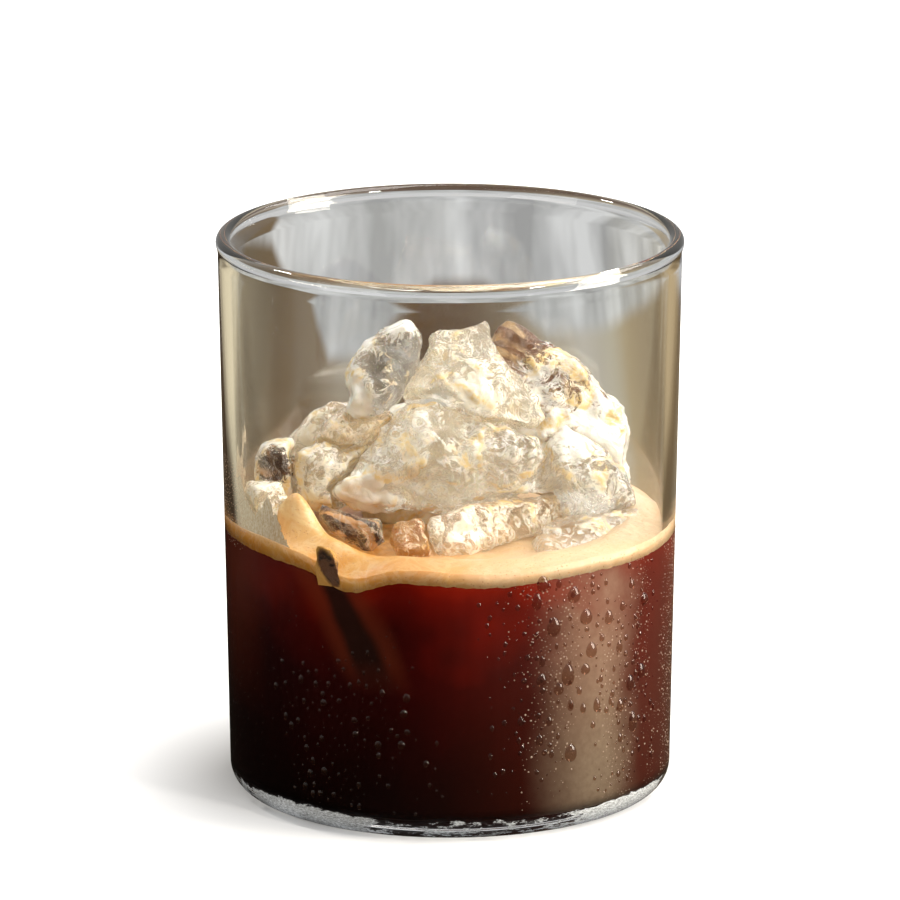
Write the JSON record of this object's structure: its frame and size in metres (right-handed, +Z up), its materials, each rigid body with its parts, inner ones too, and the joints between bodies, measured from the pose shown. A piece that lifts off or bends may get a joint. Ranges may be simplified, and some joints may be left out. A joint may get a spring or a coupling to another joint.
{
  "type": "iced coffee in a glass",
  "caption": "Straight clear tumbler half full of dark coffee under a thin tan foam, with a heap of broken clear ice standing out of it.",
  "frame": {"origin": "centre of the glass's foot, on the surface that it stands on", "axes": "+Z up along the glass's axis, -Y towards the side that the picture shows, +X to the viewer's right"},
  "size_m": [0.08, 0.08, 0.097],
  "materials": {
    "clear_glass": "clear polished soda-lime glass, wet outside",
    "coffee_liquid": "dark red-brown liquid, glossy",
    "coffee_foam": "fine tan foam, satin",
    "clear_ice": "clear cracked ice, wet and glossy, with a milky foam film"
  },
  "bodies": {
    "root": {"glass": "clear_glass", "coffee": "coffee_liquid", "crema": "coffee_foam", "ice_wedge": "clear_ice", "ice_front_slab": "clear_ice", "ice_crown_left": "clear_ice", "ice_crown_middle": "clear_ice", "ice_right": "clear_ice", "ice_right_plate": "clear_ice", "ice_left_block": "clear_ice", "ice_left_amber": "clear_ice", "ice_left_arch": "clear_ice", "ice_left_wall": "clear_ice", "ice_left_back": "clear_ice", "ice_back_right": "clear_ice", "ice_front_shard": "clear_ice", "ice_left_shard": "clear_ice", "ice_wall_blade": "clear_ice", "ice_core": "clear_ice", "ice_back": "clear_ice"}
  },
  "joints": []
}
